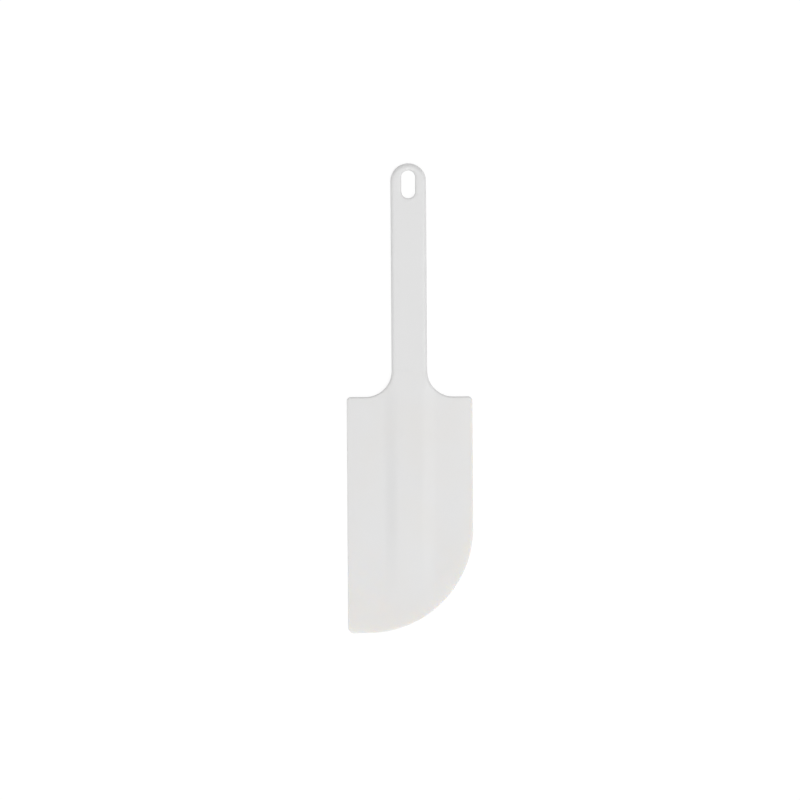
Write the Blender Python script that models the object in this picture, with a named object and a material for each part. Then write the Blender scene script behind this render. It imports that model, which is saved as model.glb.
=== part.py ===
"""Bench scraper for a bakery: a stiff moulded handle whose tang runs inside a flexible moulded blade.

The scraper lies flat. +X is to its right, +Y points to the handle's end and +Z is up, through its
thickness. The origin is the middle of its underside. Both pieces are the same above and below their
mid-plane, so each is modelled as its upper half and mirrored.

A loop is a closed outline seen from above, as a list of (x, y, nx, ny), where (nx, ny) points into the
material. A piece's outer loop runs anticlockwise, and a hole's loop runs clockwise.
"""

import math

import bmesh
import bpy
from mathutils import Vector
from mathutils.geometry import delaunay_2d_cdt
from mathutils.kdtree import KDTree

MM = 0.001

# Overall size
LENGTH = 250.0 * MM
BLADE_WIDTH = 66.9 * MM
BLADE_LENGTH = 125.8 * MM
HANDLE_WIDTH = 19.0 * MM
THICKNESS = 5.6 * MM

# Outline
NECK_FILLET = 13.85 * MM
SHOULDER_CORNER = 2.2 * MM
HEEL_CORNER = 3.3 * MM
SWEEP_RADIUS = 56.0 * MM
SLOT_WIDTH = 7.4 * MM
SLOT_LENGTH = 15.0 * MM
SLOT_TO_END = 3.7 * MM

# Rims: the rounding of the outer edges, and the least upright band left at their middle
END_ROUND = 2.3 * MM
HANDLE_ROUND = 1.8 * MM
SHOULDER_ROUND = 1.0 * MM
SIDE_ROUND = 0.45 * MM
RIM_FLAT = 0.1 * MM
SLOT_ROUND = 0.9 * MM

# Blade section, as full thicknesses
PLATE_AT_SHOULDER = 2.8 * MM
PLATE_AT_TIP = 1.8 * MM
EDGE_THICKNESS = 1.5 * MM
SWEEP_BEVEL = 8.0 * MM

# Roof, the gentle rise of both faces to the middle: its rise, where that starts to fade and has faded out
ROOF_RISE = 1.8 * MM
ROOF_FULL_Y = -20.0 * MM
ROOF_END_Y = -85.0 * MM

# Spine: where its full thickness ends and where it has faded out, its half width and each flank's width
SPINE_FULL_Y = -40.0 * MM
SPINE_END_Y = -120.0 * MM
SPINE_HALF = 6.0 * MM
SPINE_FLANK = 8.0 * MM

# Tang inside the blade, and the holes that the blade's pegs pass through
GAP = 0.3 * MM
TANG_ROOT_Y = 20.0 * MM
TANG_TIP_Y = -44.0 * MM
TANG_WIDTH = (11.0 * MM, 6.0 * MM)
TANG_THICKNESS = (3.0 * MM, 1.2 * MM)
TANG_CHAMFER = 0.3 * MM
PEG_HOLES_Y = (6.0 * MM, -10.0 * MM, -26.0 * MM)
PEG_HOLE_RADIUS = 1.9 * MM

# Mesh fineness
STEP = 5.0 * MM
ARC_STEP = math.radians(15)
RIM_STEPS = 4
SLOT_RIM_STEPS = 2

WHITE_HANDLE = (0.82, 0.82, 0.815)
WHITE_BLADE = (0.84, 0.84, 0.835)

# Places that follow from the sizes above
END_Y = LENGTH / 2
TIP_Y = -LENGTH / 2
SHOULDER_Y = TIP_Y + BLADE_LENGTH
NECK_Y = SHOULDER_Y + NECK_FILLET
HALF_HANDLE = HANDLE_WIDTH / 2
HALF_BLADE = BLADE_WIDTH / 2
SWEEP_X = HALF_BLADE - SWEEP_RADIUS
SWEEP_Y = TIP_Y + SWEEP_RADIUS


def clear_scene():
    for thing in list(bpy.data.objects):
        bpy.data.objects.remove(thing)


def blend(a, b, t):
    return a + (b - a) * t


def clamp(t):
    return min(1.0, max(0.0, t))


def smooth(t):
    """0 to 1, level at both ends."""
    t = clamp(t)
    return t * t * (3 - 2 * t)


def ease(t):
    """0 to 1, sloping at first and level at the end."""
    t = clamp(t)
    return t * (2 - t)


def arc(x, y, radius, start, end):
    """Part of a loop, from one angle in degrees to another. It is hollow where the angle falls."""
    start, end = math.radians(start), math.radians(end)
    by_angle = abs(end - start) / ARC_STEP
    by_length = abs(end - start) * radius / STEP
    steps = math.ceil(max(by_angle, by_length))
    side = -1 if end > start else 1
    turned = [blend(start, end, i / steps) for i in range(steps + 1)]
    return [
        (x + radius * math.cos(a), y + radius * math.sin(a), side * math.cos(a), side * math.sin(a))
        for a in turned
    ]


def split_runs(loop, step):
    """The loop with points added along its straight runs, where both ends face the same way."""
    finer = []
    for a, b in zip(loop, loop[1:] + loop[:1]):
        finer.append(a)
        alike = math.isclose(a[2], b[2], abs_tol=1e-6) and math.isclose(a[3], b[3], abs_tol=1e-6)
        parts = math.ceil(math.dist(a[:2], b[:2]) / step) if alike else 1
        for i in range(1, parts):
            finer.append((blend(a[0], b[0], i / parts), blend(a[1], b[1], i / parts), a[2], a[3]))
    return finer


def grown(loop, amount):
    """The loop moved out of the material, which widens a piece and narrows its holes."""
    return [(x - nx * amount, y - ny * amount, nx, ny) for x, y, nx, ny in loop]


def handle_loop():
    foot = NECK_Y + GAP
    right_foot = [(HALF_HANDLE, foot, -1.0, 0.0)]
    left_foot = [(-HALF_HANDLE, foot, 1.0, 0.0)]
    return right_foot + arc(0, END_Y - HALF_HANDLE, HALF_HANDLE, 0, 180) + left_foot


def slot_loop():
    radius = SLOT_WIDTH / 2
    upper_y = END_Y - SLOT_TO_END - radius
    lower_y = upper_y - (SLOT_LENGTH - SLOT_WIDTH)
    return arc(0, upper_y, radius, 180, 0) + arc(0, lower_y, radius, 0, -180)


def blade_loop():
    fillet_x = HALF_HANDLE + NECK_FILLET
    corner_x = HALF_BLADE - SHOULDER_CORNER
    corner_y = SHOULDER_Y - SHOULDER_CORNER
    loop = arc(-fillet_x, NECK_Y, NECK_FILLET, 0, -90)
    loop += arc(-corner_x, corner_y, SHOULDER_CORNER, 90, 180)
    loop += arc(-HALF_BLADE + HEEL_CORNER, TIP_Y + HEEL_CORNER, HEEL_CORNER, 180, 270)
    loop += arc(SWEEP_X, SWEEP_Y, SWEEP_RADIUS, 270, 360)
    loop += arc(corner_x, corner_y, SHOULDER_CORNER, 0, 90)
    loop += arc(fillet_x, NECK_Y, NECK_FILLET, -90, -180)
    return split_runs(loop, STEP)


def tang_loops():
    """The tapered tang with its round tip, and its peg holes."""
    root, tip = (width / 2 for width in TANG_WIDTH)
    outer = [(-root, TANG_ROOT_Y, 1.0, 0.0)] + arc(0, TANG_TIP_Y + tip, tip, 180, 360)
    outer += [(root, TANG_ROOT_Y, -1.0, 0.0)]
    holes = [arc(0, y, PEG_HOLE_RADIUS, 360, 0)[:-1] for y in PEG_HOLES_Y]
    return [outer] + holes


def handle_half(x, y):
    return THICKNESS / 2


def tang_half(x, y):
    along = (TANG_ROOT_Y - y) / (TANG_ROOT_Y - TANG_TIP_Y)
    return blend(*TANG_THICKNESS, clamp(along)) / 2


def kept(y, full, end):
    """1 as far down the blade as full, then falling to 0 at end."""
    return 1 - smooth((full - y) / (full - end))


def spine_share(x, y):
    """1 along the top of the spine, falling to 0 at the foot of its flanks and at its end."""
    above = smooth((y - SHOULDER_Y) / NECK_FILLET)
    half_width = blend(SPINE_HALF, HALF_HANDLE, above)
    return kept(y, SPINE_FULL_Y, SPINE_END_Y) * (1 - smooth((abs(x) - half_width) / SPINE_FLANK))


def from_sweep(x, y):
    """Distance in from the right side, the sweep and the bottom edge."""
    if x > SWEEP_X and y < SWEEP_Y:
        return SWEEP_RADIUS - math.hypot(x - SWEEP_X, y - SWEEP_Y)
    return min(HALF_BLADE - x, y - TIP_Y)


def blade_half(x, y):
    """Half of the blade's thickness: a plate thinning to its tip, a low roof, a spine, and one long bevel."""
    plate = blend(PLATE_AT_SHOULDER, PLATE_AT_TIP, ease((SHOULDER_Y - y) / BLADE_LENGTH)) / 2
    roof = ROOF_RISE / 2 * kept(y, ROOF_FULL_Y, ROOF_END_Y) * (1 - abs(x) / HALF_BLADE)
    body = blend(plate + roof, THICKNESS / 2, spine_share(x, y))
    return blend(EDGE_THICKNESS / 2, body, ease(from_sweep(x, y) / SWEEP_BEVEL))


def outer_round(x, y):
    """The rim's rounding: most at the handle's end, less over the shoulders, least on the blade's sides."""
    handle = blend(HANDLE_ROUND, END_ROUND, smooth((y - END_Y + HALF_HANDLE) / HALF_HANDLE))
    upper = blend(handle, SHOULDER_ROUND, smooth((NECK_Y - y) / NECK_FILLET))
    return blend(upper, SIDE_ROUND, smooth((SHOULDER_Y - y) / (3 * SHOULDER_CORNER)))


def slot_round(x, y):
    return SLOT_ROUND


def tang_chamfer(x, y):
    return TANG_CHAMFER


def crosses(point, rings):
    """How many edges lie straight to the right of the point."""
    found = 0
    for ring in rings:
        for a, b in zip(ring, ring[1:] + ring[:1]):
            if (a.y > point.y) != (b.y > point.y):
                found += point.x < a.x + (point.y - a.y) * (b.x - a.x) / (b.y - a.y)
    return found


def lattice(rings, step):
    """Evenly spaced points inside the rings and clear of them."""
    edge = [point for ring in rings for point in ring]
    tree = KDTree(len(edge))
    for i, point in enumerate(edge):
        tree.insert(point.to_3d(), i)
    tree.balance()
    low_x = min(point.x for point in edge)
    low_y = min(point.y for point in edge)
    columns = math.ceil((max(point.x for point in edge) - low_x) / step)
    rows = math.ceil((max(point.y for point in edge) - low_y) / step)
    places = [
        Vector((low_x + (i + 0.5) * step, low_y + (j + 0.5) * step))
        for j in range(rows)
        for i in range(columns)
    ]
    return [p for p in places if crosses(p, rings) % 2 and tree.find(p.to_3d())[2] > step / 2]


def rounded_rings(bm, loop, half, rounding, steps):
    """Rings of vertices over one loop, from the mid-plane up and round its rim. One step is a chamfer."""
    rings = [[bm.verts.new((x, y, 0)) for x, y, _, _ in loop]]
    for k in range(steps + 1):
        turn = math.pi / 2 * k / steps
        ring = []
        for x, y, nx, ny in loop:
            radius = min(rounding(x, y), half(x, y) - RIM_FLAT)
            inset = radius * (1 - math.cos(turn))
            place = x + nx * inset, y + ny * inset
            ring.append(bm.verts.new((*place, half(*place) - radius * (1 - math.sin(turn)))))
        rings.append(ring)
    for lower, upper in zip(rings, rings[1:]):
        for i in range(len(loop)):
            bm.faces.new((lower[i - 1], lower[i], upper[i], upper[i - 1]))
    return rings[-1]


def moulding(name, loops, half, rounds, step=None):
    """A closed body: its upper half over the loops, mirrored below. half(x, y) is half its thickness.

    rounds holds each loop's rounding and the number of steps round it. step spaces the points between.
    """
    bm = bmesh.new()
    tops = [rounded_rings(bm, loop, half, *how) for loop, how in zip(loops, rounds)]
    rings = [[vert.co.to_2d() for vert in top] for top in tops]
    inner = lattice(rings, step) if step else []
    verts = [vert for top in tops for vert in top]
    verts += [bm.verts.new((p.x, p.y, half(p.x, p.y))) for p in inner]
    edges = []
    first = 0
    for ring in rings:
        count = len(ring)
        edges += [(first + i, first + (i + 1) % count) for i in range(count)]
        first += count
    flat = [vert.co.to_2d() for vert in verts]
    _, _, triangles, sources, _, _ = delaunay_2d_cdt(flat, edges, [], 1, 1e-9)
    ring_of = [n for n, ring in enumerate(rings) for _ in ring] + [None] * len(inner)
    for triangle in triangles:
        corners = [sources[i][0] for i in triangle]
        owners = {ring_of[i] for i in corners}
        if len(owners) == 1 and owners.pop() not in (None, 0):
            continue
        bm.faces.new([verts[i] for i in corners])
    bmesh.ops.recalc_face_normals(bm, faces=bm.faces)
    mesh = bpy.data.meshes.new(name)
    bm.to_mesh(mesh)
    bm.free()
    mesh.shade_smooth()
    piece = bpy.data.objects.new(name, mesh)
    piece.location.z = THICKNESS / 2
    bpy.context.collection.objects.link(piece)
    mirror = piece.modifiers.new("lower half", "MIRROR")
    mirror.use_axis = (False, False, True)
    mirror.merge_threshold = 0.00001
    return piece


def combine(piece, other, operation):
    boolean = piece.modifiers.new(other.name, "BOOLEAN")
    boolean.operation = operation
    boolean.object = other
    other.hide_render = True
    other.display_type = "WIRE"


def plastic(name, colour, roughness):
    material = bpy.data.materials.new(name)
    material.use_nodes = True
    surface = material.node_tree.nodes["Principled BSDF"]
    surface.inputs["Base Color"].default_value = (*colour, 1)
    surface.inputs["Roughness"].default_value = roughness
    return material


def make_tang(name, allowance):
    """The tang, or with an allowance the pocket that takes it."""
    loops = [grown(loop, allowance) for loop in tang_loops()]
    chamfers = [(tang_chamfer, 1)] * len(loops)
    return moulding(name, loops, lambda x, y: tang_half(x, y) + allowance, chamfers)


def make_handle():
    rounds = [(outer_round, RIM_STEPS), (slot_round, SLOT_RIM_STEPS)]
    handle = moulding("handle", [handle_loop(), slot_loop()], handle_half, rounds)
    combine(handle, make_tang("tang", 0), "UNION")
    handle.data.materials.append(plastic("stiff white plastic", WHITE_HANDLE, 0.4))


def make_blade():
    blade = moulding("blade", [blade_loop()], blade_half, [(outer_round, RIM_STEPS)], STEP)
    combine(blade, make_tang("pocket", GAP), "DIFFERENCE")
    blade.data.materials.append(plastic("flexible white plastic", WHITE_BLADE, 0.45))


clear_scene()
make_handle()
make_blade()
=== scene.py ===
"""Looks of the bench scraper: the finely moulded handle and blade, their plastic, the floor and the light.

The scraper lies flat. +X is its right, +Y the handle's end, +Z up through its thickness.
Sizes are in metres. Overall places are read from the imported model; the rest repeat the model's own
driving sizes. A loop is a closed outline seen from above, an array of rows (x, y, nx, ny), where
(nx, ny) points into the material: an outer loop runs anticlockwise and a hole's loop clockwise.
"""
import math

import bmesh
import bpy
import numpy as np
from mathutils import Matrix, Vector
from mathutils.geometry import delaunay_2d_cdt


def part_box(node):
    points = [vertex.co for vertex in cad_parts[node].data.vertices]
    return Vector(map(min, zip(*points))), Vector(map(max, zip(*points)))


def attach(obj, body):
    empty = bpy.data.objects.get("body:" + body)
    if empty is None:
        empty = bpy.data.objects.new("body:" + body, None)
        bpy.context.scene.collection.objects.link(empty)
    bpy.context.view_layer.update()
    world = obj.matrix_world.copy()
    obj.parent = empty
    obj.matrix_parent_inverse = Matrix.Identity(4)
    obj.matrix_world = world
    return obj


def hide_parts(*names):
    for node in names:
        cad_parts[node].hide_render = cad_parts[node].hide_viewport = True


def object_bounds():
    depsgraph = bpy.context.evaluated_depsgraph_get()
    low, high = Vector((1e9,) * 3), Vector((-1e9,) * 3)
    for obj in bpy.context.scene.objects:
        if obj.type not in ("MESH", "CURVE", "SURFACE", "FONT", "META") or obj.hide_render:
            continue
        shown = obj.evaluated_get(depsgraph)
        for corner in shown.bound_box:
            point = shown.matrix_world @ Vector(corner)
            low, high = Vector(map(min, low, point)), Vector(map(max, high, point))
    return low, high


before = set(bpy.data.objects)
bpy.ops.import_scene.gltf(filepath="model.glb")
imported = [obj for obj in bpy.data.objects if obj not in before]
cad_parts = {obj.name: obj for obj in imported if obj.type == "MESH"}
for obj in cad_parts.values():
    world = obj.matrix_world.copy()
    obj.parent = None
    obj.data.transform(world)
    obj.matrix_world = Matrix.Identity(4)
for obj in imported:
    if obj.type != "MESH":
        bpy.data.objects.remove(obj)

cad_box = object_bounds()
LOW, HIGH = (Vector(corner) for corner in cad_box)
MM = 0.001

# Overall places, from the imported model
HALF_BLADE = (HIGH.x - LOW.x) / 2
TIP_Y = LOW.y
END_Y = HIGH.y
THICKNESS = HIGH.z - LOW.z
NECK_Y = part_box("blade")[1][1]
HALF_HANDLE = (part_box("handle")[1][0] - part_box("handle")[0][0]) / 2

# Outline
NECK_FILLET = 13.85 * MM
SHOULDER_CORNER = 2.2 * MM
HEEL_CORNER = 3.3 * MM
SWEEP_RADIUS = 56.0 * MM
SLOT_WIDTH = 7.4 * MM
SLOT_LENGTH = 15.0 * MM
SLOT_TO_END = 3.7 * MM
SEAM = 0.005 * MM

# Rims: rounding of the outer edges, the upright band at their middle, and the parting line in it
END_ROUND = 2.3 * MM
HANDLE_ROUND = 1.8 * MM
SHOULDER_ROUND = 1.0 * MM
SIDE_ROUND = 0.45 * MM
RIM_FLAT = 0.1 * MM
SLOT_ROUND = 0.9 * MM
PARTING_DEPTH = 0.03 * MM
PARTING_HALF = 0.05 * MM

# Blade section, as full thicknesses
PLATE_AT_SHOULDER = 2.8 * MM
PLATE_AT_TIP = 1.8 * MM
EDGE_THICKNESS = 1.5 * MM
SWEEP_BEVEL = 8.0 * MM

# Roof, the gentle rise of both faces to the middle
ROOF_RISE = 1.8 * MM
ROOF_FULL_Y = -20.0 * MM
ROOF_END_Y = -85.0 * MM

# Spine
SPINE_FULL_Y = -40.0 * MM
SPINE_END_Y = -120.0 * MM
SPINE_HALF = 6.0 * MM
SPINE_FLANK = 8.0 * MM

# Tang and the pegs through it
GAP = 0.3 * MM
TANG_ROOT_Y = 20.0 * MM
TANG_TIP_Y = -44.0 * MM
TANG_WIDTH = (11.0 * MM, 6.0 * MM)
TANG_THICKNESS = (3.0 * MM, 1.2 * MM)
TANG_ROUND = 0.3 * MM
PEG_HOLES_Y = (6.0 * MM, -10.0 * MM, -26.0 * MM)
PEG_HOLE_RADIUS = 1.9 * MM

# Floor: a lit white table, so nothing casts a visible shadow on it
FLOOR_HALF = 4.0
FLOOR_DROP = 0.2 * MM
FLOOR_WHITE = (0.2, 0.2, 0.2, 1)
FLOOR_ROUGHNESS = 0.8
FLOOR_GLOW = 0.85

# Light: each softbox's strength, spread, tilt from overhead towards -Y and turn towards +X, in degrees
SKY = 0.335
KEY_SOFTBOX = (1.39, 60, 33, 0)
SIDE_SOFTBOX = (0.7, 25, 24, 90)

# Camera: straight above, and turned in degrees
CAMERA_PLACE = (-5.11 * MM, -0.9 * MM, 1183.0 * MM + THICKNESS / 2)
CAMERA_TURN = -0.37
LENS = 100
SENSOR = 36

# Plastic: its white, and the tinge that this drifts to in places, grey on the handle and cream on the blade
WHITE = (0.817, 0.817, 0.817, 1)
GREY = (0.808, 0.808, 0.807, 1)
CREAM = (0.814, 0.805, 0.792, 1)
TINT_PER_M = 30
TINT_RANGE = (0.35, 0.7)
PLASTIC_IOR = 1.49

# Each piece's roughness, and how strongly scuffs show on it
HANDLE_FINISH = (0.45, 0.5)
BLADE_FINISH = (0.5, 1)

# The plastic's gloss: patches, and scuffs that lie along the scraper and dull it
PATCH_PER_M = 320
PATCH_RANGE = (0.3, 0.7)
PATCH_CHANGE = 0.05
SCUFF_PER_M = (5200, 130, 5200)
SCUFF_RANGE = (0.66, 0.74)
SCUFF_CHANGE = 0.12

# The plastic's relief, which is too fine for the mesh
RIPPLE_PER_M = (90, 28, 90)
RIPPLE_HEIGHT = 0.03 * MM
GRAIN_PER_M = 2600
GRAIN_HEIGHT = 0.024 * MM
SCUFF_DEPTH = 0.008 * MM

# Light inside the blade: how far it goes, and the half thicknesses at which it starts and is full
DEPTH = 1.4 * MM
DEPTH_BY_COLOUR = (1.0, 0.88, 0.72)
THICK_HALF = 1.0 * MM
THIN_HALF = 0.85 * MM

# Mesh fineness
STEP = 1.2 * MM
CLEARANCE = 0.6 * STEP
ARC_STEP = math.radians(3.75)
RIM_STEPS = 9
SMALL_RIM_STEPS = 4
MERGE = 0.001 * MM
SHARP_ANGLE = math.radians(50)

# Places that follow from the sizes above
SHOULDER_Y = NECK_Y - NECK_FILLET
SWEEP_X = HALF_BLADE - SWEEP_RADIUS
SWEEP_Y = TIP_Y + SWEEP_RADIUS


def blend(a, b, t):
    return a + (b - a) * t


def smooth(t):
    """0 to 1, level at both ends."""
    t = np.clip(t, 0, 1)
    return t * t * (3 - 2 * t)


def ease(t):
    """0 to 1, sloping at first and level at the end."""
    t = np.clip(t, 0, 1)
    return t * (2 - t)


# ---------------------------------------------------------------- outlines

def arc(x, y, radius, start, end):
    """Rows of a loop from one angle in degrees to another. It is hollow where the angle falls."""
    start, end = math.radians(start), math.radians(end)
    turn = abs(end - start)
    steps = math.ceil(max(turn / ARC_STEP, turn * radius / STEP))
    angle = np.linspace(start, end, steps + 1)
    out = np.stack([np.cos(angle), np.sin(angle)], axis=1)
    side = -1 if end > start else 1
    return np.hstack([np.array([x, y]) + radius * out, side * out])


def split_runs(loop):
    """The loop with rows added along its straight runs, where both ends face the same way."""
    rows = []
    for a, b in zip(loop, np.roll(loop, -1, axis=0)):
        alike = np.allclose(a[2:], b[2:], atol=1e-6)
        parts = math.ceil(np.linalg.norm(b[:2] - a[:2]) / STEP) if alike else 1
        rows += [blend(a, b, i / parts) for i in range(max(parts, 1))]
    return np.array(rows)


def handle_loop():
    foot = NECK_Y + SEAM
    right = np.array([[HALF_HANDLE, foot, -1, 0]])
    left = np.array([[-HALF_HANDLE, foot, 1, 0]])
    return split_runs(np.vstack([right, arc(0, END_Y - HALF_HANDLE, HALF_HANDLE, 0, 180), left]))


def slot_loop():
    radius = SLOT_WIDTH / 2
    upper = END_Y - SLOT_TO_END - radius
    lower = upper - (SLOT_LENGTH - SLOT_WIDTH)
    return split_runs(np.vstack([arc(0, upper, radius, 180, 0), arc(0, lower, radius, 0, -180)]))


def blade_loop():
    fillet_x = HALF_HANDLE + NECK_FILLET
    corner_x = HALF_BLADE - SHOULDER_CORNER
    corner_y = SHOULDER_Y - SHOULDER_CORNER
    return split_runs(np.vstack([
        arc(-fillet_x, NECK_Y, NECK_FILLET, 0, -90),
        arc(-corner_x, corner_y, SHOULDER_CORNER, 90, 180),
        arc(-HALF_BLADE + HEEL_CORNER, TIP_Y + HEEL_CORNER, HEEL_CORNER, 180, 270),
        arc(SWEEP_X, SWEEP_Y, SWEEP_RADIUS, 270, 360),
        arc(corner_x, corner_y, SHOULDER_CORNER, 0, 90),
        arc(fillet_x, NECK_Y, NECK_FILLET, -90, -180),
    ]))


def tang_loops(allowance):
    """The tang's outline and peg holes, or with an allowance those of the pocket that takes it."""
    root, tip = (width / 2 for width in TANG_WIDTH)
    outer = np.vstack([
        [[-root, TANG_ROOT_Y, 1, 0]],
        arc(0, TANG_TIP_Y + tip, tip, 180, 360),
        [[root, TANG_ROOT_Y, -1, 0]],
    ])
    loops = [outer] + [arc(0, y, PEG_HOLE_RADIUS, 360, 0)[:-1] for y in PEG_HOLES_Y]
    return [np.hstack([loop[:, :2] - allowance * loop[:, 2:], loop[:, 2:]]) for loop in loops]


# ---------------------------------------------------------------- half thicknesses, over arrays of places

def handle_half(x, y):
    return np.full_like(x, THICKNESS / 2)


def tang_half(x, y):
    along = np.clip((TANG_ROOT_Y - y) / (TANG_ROOT_Y - TANG_TIP_Y), 0, 1)
    return blend(*TANG_THICKNESS, along) / 2


def kept(y, full, end):
    """1 as far down the blade as full, then falling to 0 at end."""
    return 1 - smooth((full - y) / (full - end))


def spine_share(x, y):
    """1 along the top of the spine, falling to 0 at the foot of its flanks and at its end."""
    above = smooth((y - SHOULDER_Y) / NECK_FILLET)
    half_width = blend(SPINE_HALF, HALF_HANDLE, above)
    return kept(y, SPINE_FULL_Y, SPINE_END_Y) * (1 - smooth((np.abs(x) - half_width) / SPINE_FLANK))


def from_sweep(x, y):
    """Distance in from the right side, the sweep and the bottom edge."""
    straight = np.minimum(HALF_BLADE - x, y - TIP_Y)
    curved = SWEEP_RADIUS - np.hypot(x - SWEEP_X, y - SWEEP_Y)
    return np.where((x > SWEEP_X) & (y < SWEEP_Y), curved, straight)


def blade_half(x, y):
    """A plate thinning to its tip, with a low roof and a spine on it, and one long bevel."""
    down = (SHOULDER_Y - y) / (SHOULDER_Y - TIP_Y)
    plate = blend(PLATE_AT_SHOULDER, PLATE_AT_TIP, ease(down)) / 2
    roof = ROOF_RISE / 2 * kept(y, ROOF_FULL_Y, ROOF_END_Y) * (1 - np.abs(x) / HALF_BLADE)
    body = blend(plate + roof, THICKNESS / 2, spine_share(x, y))
    return blend(EDGE_THICKNESS / 2, body, ease(from_sweep(x, y) / SWEEP_BEVEL))


# ---------------------------------------------------------------- rims, over arrays of places

def outer_round(x, y):
    """The rim's rounding: most at the handle's end, less over the shoulders, least on the blade's sides."""
    handle = blend(HANDLE_ROUND, END_ROUND, smooth((y - END_Y + HALF_HANDLE) / HALF_HANDLE))
    upper = blend(handle, SHOULDER_ROUND, smooth((NECK_Y - y) / NECK_FILLET))
    return blend(upper, SIDE_ROUND, smooth((SHOULDER_Y - y) / (3 * SHOULDER_CORNER)))


def slot_round(x, y):
    return SLOT_ROUND


def tang_round(x, y):
    return TANG_ROUND


# ---------------------------------------------------------------- meshes

def rim_rings(loop, half, rounding, steps):
    """Rings of points over one loop: up the parting line and the upright band, then round the rim."""
    x, y, nx, ny = loop.T
    radius = np.minimum(rounding(x, y), half(x, y) - RIM_FLAT)
    band = half(x, y) - radius
    line = np.minimum(PARTING_HALF, band / 2)
    rings = [(x + nx * PARTING_DEPTH, y + ny * PARTING_DEPTH, np.zeros_like(x)), (x, y, line)]
    for turn in np.linspace(0, math.pi / 2, steps + 1):
        inset = radius * (1 - math.cos(turn))
        px, py = x + nx * inset, y + ny * inset
        rings.append((px, py, half(px, py) - radius * (1 - math.sin(turn))))
    return [np.stack(ring, axis=1) for ring in rings]


def inside(points, rings):
    """True for each point with an odd number of edges straight to its right."""
    crossings = np.zeros(len(points), int)
    px, py = points.T
    for ring in rings:
        for (ax, ay), (bx, by) in zip(ring, np.roll(ring, -1, axis=0)):
            if ay != by:
                spans = (ay > py) != (by > py)
                crossings += spans & (px < ax + (py - ay) * (bx - ax) / (by - ay))
    return crossings % 2 == 1


def lattice(rings):
    """Evenly spaced points inside the rings and clear of them."""
    edge = np.vstack(rings)
    low, high = edge.min(axis=0), edge.max(axis=0)
    across, along = (np.arange(low[i] + STEP / 2, high[i], STEP) for i in range(2))
    points = np.stack(np.meshgrid(across, along), axis=-1).reshape(-1, 2)
    points = points[inside(points, rings)]
    nearest = np.array([np.min(np.sum((edge - p) ** 2, axis=1)) for p in points])
    return points[nearest > CLEARANCE ** 2]


def add_rim(bm, loop, half, rounding, steps):
    """The faces up and round one rim. Returns its topmost ring of vertices."""
    rings = [[bm.verts.new(p) for p in ring] for ring in rim_rings(loop, half, rounding, steps)]
    for lower, upper in zip(rings, rings[1:]):
        for i in range(len(loop)):
            bm.faces.new((lower[i - 1], lower[i], upper[i], upper[i - 1]))
    return rings[-1]


def add_top(bm, tops, half):
    """The faces of the upper side, between the first ring and those of the holes."""
    inner = lattice([np.array([vert.co.to_2d() for vert in top]) for top in tops])
    verts = [vert for top in tops for vert in top]
    verts += [bm.verts.new((*place, z)) for place, z in zip(inner, half(*inner.T))]
    ring_of = [n for n, top in enumerate(tops) for _ in top] + [None] * len(inner)
    edges = []
    first = 0
    for top in tops:
        edges += [(first + i, first + (i + 1) % len(top)) for i in range(len(top))]
        first += len(top)
    flat = [vert.co.to_2d() for vert in verts]
    _, _, triangles, sources, _, _ = delaunay_2d_cdt(flat, edges, [], 1, 1e-9)
    for triangle in triangles:
        corners = [sources[i][0] for i in triangle]
        owners = {ring_of[i] for i in corners}
        within_a_hole = len(owners) == 1 and owners.pop() not in (None, 0)
        if not within_a_hole:
            bm.faces.new([verts[i] for i in corners])


def moulding(name, loops, half, rounds):
    """A closed body: its upper half over the loops, and the mirror image of that below.

    half(x, y) is half its thickness. rounds holds each loop's rounding and the number of steps round it.
    """
    bm = bmesh.new()
    tops = [add_rim(bm, loop, half, *how) for loop, how in zip(loops, rounds)]
    add_top(bm, tops, half)
    bmesh.ops.recalc_face_normals(bm, faces=bm.faces)
    mesh = bpy.data.meshes.new(name)
    bm.to_mesh(mesh)
    bm.free()
    piece = bpy.data.objects.new(name, mesh)
    piece.location.z = LOW.z + THICKNESS / 2
    bpy.context.collection.objects.link(piece)
    mirror = piece.modifiers.new("lower half", "MIRROR")
    mirror.use_axis = (False, False, True)
    mirror.merge_threshold = MERGE
    return piece


def tang_body(name, allowance):
    """The tang, or with an allowance the pocket that takes it."""
    loops = tang_loops(allowance)
    rounds = [(tang_round, SMALL_RIM_STEPS)] * len(loops)
    return moulding(name, loops, lambda x, y: tang_half(x, y) + allowance, rounds)


def combined(piece, other, operation):
    """The piece with its modifiers and a Boolean applied, and the other body removed."""
    boolean = piece.modifiers.new(other.name, "BOOLEAN")
    boolean.operation = operation
    boolean.object = other
    graph = bpy.context.evaluated_depsgraph_get()
    mesh = bpy.data.meshes.new_from_object(piece.evaluated_get(graph))
    piece.modifiers.clear()
    piece.data = mesh
    bpy.data.objects.remove(other)
    mesh.shade_smooth()
    mesh.set_sharp_from_angle(angle=SHARP_ANGLE)
    return piece


# ---------------------------------------------------------------- materials

def add_node(tree, kind, inputs, **settings):
    """A new node. An input given as a socket is linked, and any other is set."""
    node = tree.nodes.new("ShaderNode" + kind)
    for name, value in settings.items():
        setattr(node, name, value)
    for name, value in inputs.items():
        if isinstance(value, bpy.types.NodeSocket):
            tree.links.new(value, node.inputs[name])
        else:
            node.inputs[name].default_value = value
    return node


def noise(tree, place, per_metre, detail, roughness=0.5):
    """Noise from 0 to 1 over the piece, with about this many lumps to a metre, or a number for each axis."""
    if isinstance(per_metre, tuple):
        place = add_node(tree, "Mapping", {"Vector": place, "Scale": per_metre}).outputs["Vector"]
        per_metre = 1
    inputs = {"Vector": place, "Scale": per_metre, "Detail": detail, "Roughness": roughness}
    return add_node(tree, "TexNoise", inputs).outputs["Fac"]


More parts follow.
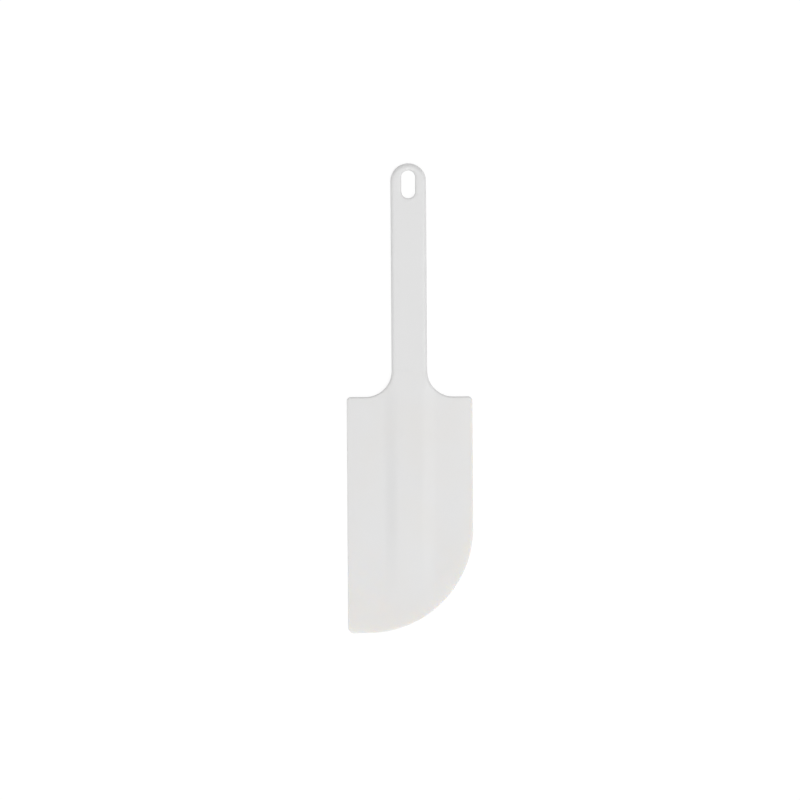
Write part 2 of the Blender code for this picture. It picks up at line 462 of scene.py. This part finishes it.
def remap(tree, value, low, high, to_low, to_high):
    """The value with one range brought to another, and held at its ends."""
    inputs = {"Value": value, "From Min": low, "From Max": high, "To Min": to_low, "To Max": to_high}
    return add_node(tree, "MapRange", inputs).outputs["Result"]


def raised(tree, height, distance, under=None):
    """A normal with this height laid over the one beneath."""
    inputs = {"Height": height, "Strength": 1, "Distance": distance}
    if under is not None:
        inputs["Normal"] = under
    return add_node(tree, "Bump", inputs).outputs["Normal"]


def plastic(name, tinge, roughness, scuffed):
    """Moulded white plastic: a faint tinge, patchy gloss, slow ripples, a fine grain and light scuffs."""
    material = bpy.data.materials.new(name)
    material.use_nodes = True
    tree = material.node_tree
    place = add_node(tree, "TexCoord", {}).outputs["Object"]
    surface = tree.nodes["Principled BSDF"]

    # A Mix node's colour sockets share their names with its other types, so they go by number
    tint = remap(tree, noise(tree, place, TINT_PER_M, 2), *TINT_RANGE, 0, 1)
    colour = add_node(tree, "Mix", {0: tint, 6: WHITE, 7: tinge}, data_type="RGBA")
    tree.links.new(colour.outputs[2], surface.inputs["Base Color"])

    scuffs = remap(tree, noise(tree, place, SCUFF_PER_M, 3, 0.6), *SCUFF_RANGE, 0, scuffed)
    patches = noise(tree, place, PATCH_PER_M, 4, 0.6)
    gloss = remap(tree, patches, *PATCH_RANGE, roughness - PATCH_CHANGE, roughness + PATCH_CHANGE)
    worn = add_node(tree, "Math", {0: scuffs, 1: SCUFF_CHANGE, 2: gloss}, operation="MULTIPLY_ADD")
    tree.links.new(worn.outputs["Value"], surface.inputs["Roughness"])

    normal = raised(tree, noise(tree, place, RIPPLE_PER_M, 1), RIPPLE_HEIGHT)
    normal = raised(tree, noise(tree, place, GRAIN_PER_M, 3, 0.6), GRAIN_HEIGHT, normal)
    normal = raised(tree, scuffs, -SCUFF_DEPTH, normal)
    tree.links.new(normal, surface.inputs["Normal"])

    surface.inputs["IOR"].default_value = PLASTIC_IOR
    return material


def let_light_in(material):
    """Light passes into the material as far as the mesh's own thinness says."""
    tree = material.node_tree
    surface = tree.nodes["Principled BSDF"]
    thin = add_node(tree, "Attribute", {}, attribute_name="thinness")
    tree.links.new(thin.outputs["Fac"], surface.inputs["Subsurface Weight"])
    surface.inputs["Subsurface Radius"].default_value = DEPTH_BY_COLOUR
    surface.inputs["Subsurface Scale"].default_value = DEPTH


def mark_thinness(mesh):
    """Writes how much light passes in at each vertex, from 0 where the blade is thick to 1 where thin."""
    places = np.empty(len(mesh.vertices) * 3)
    mesh.vertices.foreach_get("co", places)
    x, y, _ = places.reshape(-1, 3).T
    share = smooth((THICK_HALF - blade_half(x, y)) / (THICK_HALF - THIN_HALF))
    thinness = mesh.attributes.new("thinness", "FLOAT", "POINT")
    thinness.data.foreach_set("value", share.astype(np.float32))


# ---------------------------------------------------------------- the object

def make_handle():
    rounds = [(outer_round, RIM_STEPS), (slot_round, SMALL_RIM_STEPS)]
    handle = moulding("grip_and_tang", [handle_loop(), slot_loop()], handle_half, rounds)
    handle = combined(handle, tang_body("tang", 0), "UNION")
    handle.data.materials.clear()
    handle.data.materials.append(plastic("stiff_white_plastic", GREY, *HANDLE_FINISH))
    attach(handle, "root")
    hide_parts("handle")


def make_blade():
    blade = moulding("flexible_blade", [blade_loop()], blade_half, [(outer_round, RIM_STEPS)])
    blade = combined(blade, tang_body("pocket", GAP), "DIFFERENCE")
    mark_thinness(blade.data)
    resin = plastic("flexible_white_plastic", CREAM, *BLADE_FINISH)
    let_light_in(resin)
    blade.data.materials.clear()
    blade.data.materials.append(resin)
    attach(blade, "root")
    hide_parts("blade")


# ---------------------------------------------------------------- floor, light and camera

def make_floor():
    mesh = bpy.data.meshes.new("floor")
    signs = [(-1, -1), (1, -1), (1, 1), (-1, 1)]
    corners = [(i * FLOOR_HALF, j * FLOOR_HALF, LOW.z - FLOOR_DROP) for i, j in signs]
    mesh.from_pydata(corners, [], [(0, 1, 2, 3)])
    floor = bpy.data.objects.new("floor", mesh)
    bpy.context.collection.objects.link(floor)
    material = bpy.data.materials.new("pale_floor")
    material.use_nodes = True
    surface = material.node_tree.nodes["Principled BSDF"]
    surface.inputs["Base Color"].default_value = FLOOR_WHITE
    surface.inputs["Roughness"].default_value = FLOOR_ROUGHNESS
    surface.inputs["Specular IOR Level"].default_value = 0.0
    surface.inputs["Emission Color"].default_value = (1, 1, 1, 1)
    surface.inputs["Emission Strength"].default_value = FLOOR_GLOW
    mesh.materials.append(material)


def make_light():
    world = bpy.data.worlds.new("studio")
    bpy.context.scene.world = world
    world.use_nodes = True
    sky = world.node_tree.nodes["Background"]
    sky.inputs["Color"].default_value = (1, 1, 1, 1)
    sky.inputs["Strength"].default_value = SKY
    add_softbox("key_softbox", *KEY_SOFTBOX)
    add_softbox("side_softbox", *SIDE_SOFTBOX)


def add_softbox(name, strength, spread, tilt, turn):
    """A wide, far lamp, tilted down from overhead towards -Y and then turned towards +X."""
    lamp = bpy.data.lights.new(name, "SUN")
    lamp.energy = strength
    lamp.angle = math.radians(spread)
    box = bpy.data.objects.new(name, lamp)
    box.rotation_euler = (math.radians(tilt), 0, math.radians(turn))
    bpy.context.collection.objects.link(box)


def make_camera():
    lens = bpy.data.cameras.new("camera")
    lens.lens = LENS
    lens.sensor_width = SENSOR
    camera = bpy.data.objects.new("camera", lens)
    camera.location = CAMERA_PLACE
    camera.rotation_euler = (0, 0, math.radians(CAMERA_TURN))
    bpy.context.collection.objects.link(camera)
    bpy.context.scene.camera = camera


make_camera()
make_light()
make_floor()
make_handle()
make_blade()
bpy.context.scene.view_settings.view_transform = "Standard"
